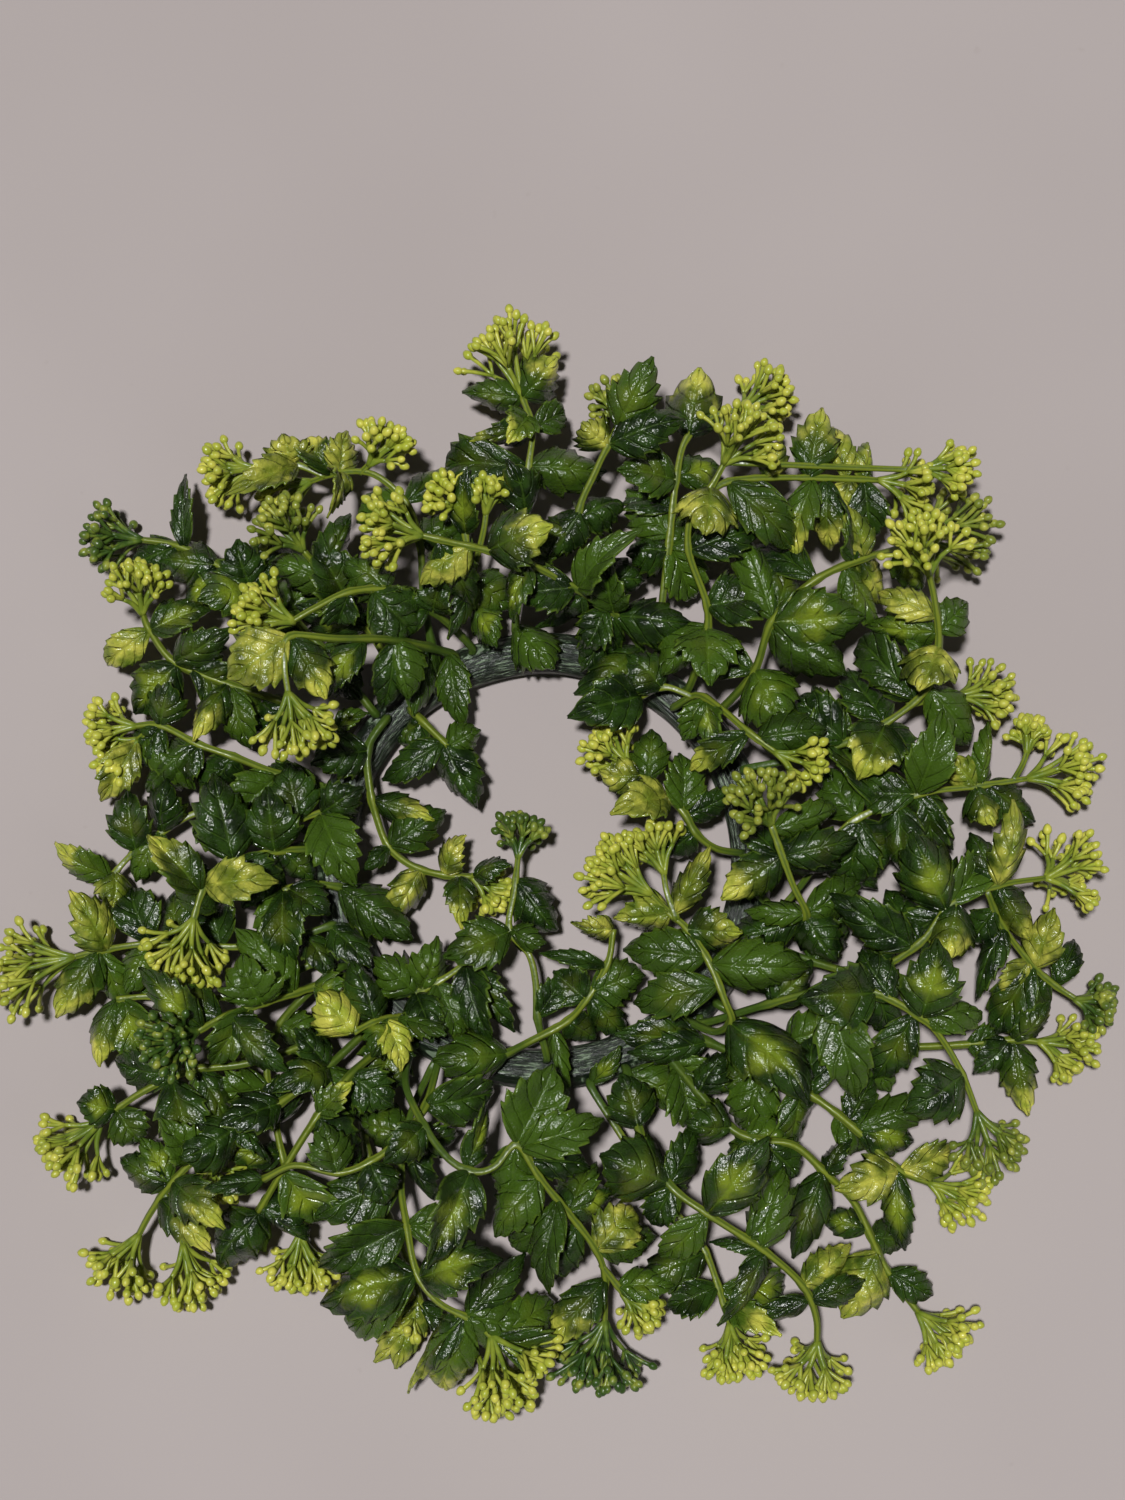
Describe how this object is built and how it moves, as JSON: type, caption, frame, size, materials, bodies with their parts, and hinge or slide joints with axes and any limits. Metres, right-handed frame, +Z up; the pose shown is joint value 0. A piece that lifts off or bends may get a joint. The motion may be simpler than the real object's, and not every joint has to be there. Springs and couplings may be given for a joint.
{
  "type": "candle ring",
  "caption": "Round tube ring resting on a flat underside, with moulded leafy sprigs and bud heads standing all round it and an open middle for a candle.",
  "frame": {"origin": "centre of the ring on the surface it rests on", "axes": "+Z up, along the ring's axis; +Y away from the viewer and +X to the viewer's right in the source view"},
  "size_m": [0.325, 0.3159, 0.0607],
  "materials": {
    "ring": "dark green, grained lengthwise, glossy",
    "leaf": "dark green with lime patches, satin gloss",
    "stem": "yellow green, satin gloss",
    "bud": "yellow green, satin gloss"
  },
  "bodies": {
    "root": {"ring_base": "ring", "sprig_01": "leaf", "sprig_02": "leaf", "sprig_03": "leaf", "sprig_04": "leaf", "sprig_05": "leaf", "sprig_06": "leaf", "sprig_07": "leaf", "sprig_08": "leaf", "sprig_09": "leaf", "sprig_10": "leaf", "sprig_11": "leaf", "sprig_12": "leaf", "sprig_13": "leaf", "sprig_14": "leaf", "sprig_15": "leaf", "sprig_16": "leaf", "sprig_17": "leaf", "sprig_18": "leaf", "sprig_19": "leaf", "sprig_20": "leaf", "sprig_21": "leaf", "sprig_22": "leaf", "sprig_23": "leaf", "sprig_24": "leaf", "sprig_25": "leaf", "sprig_26": "leaf", "sprig_27": "leaf", "sprig_28": "leaf", "sprig_29": "leaf", "sprig_30": "leaf", "sprig_31": "leaf", "sprig_32": "leaf", "sprig_33": "leaf", "sprig_34": "leaf", "sprig_35": "leaf", "sprig_36": "leaf", "sprig_37": "leaf", "sprig_38": "leaf", "sprig_39": "leaf", "sprig_40": "leaf", "sprig_41": "leaf", "sprig_42": "leaf", "sprig_43": "leaf", "sprig_44": "leaf", "sprig_45": "leaf", "sprig_46": "leaf", "sprig_47": "leaf", "sprig_48": "leaf"}
  },
  "joints": []
}
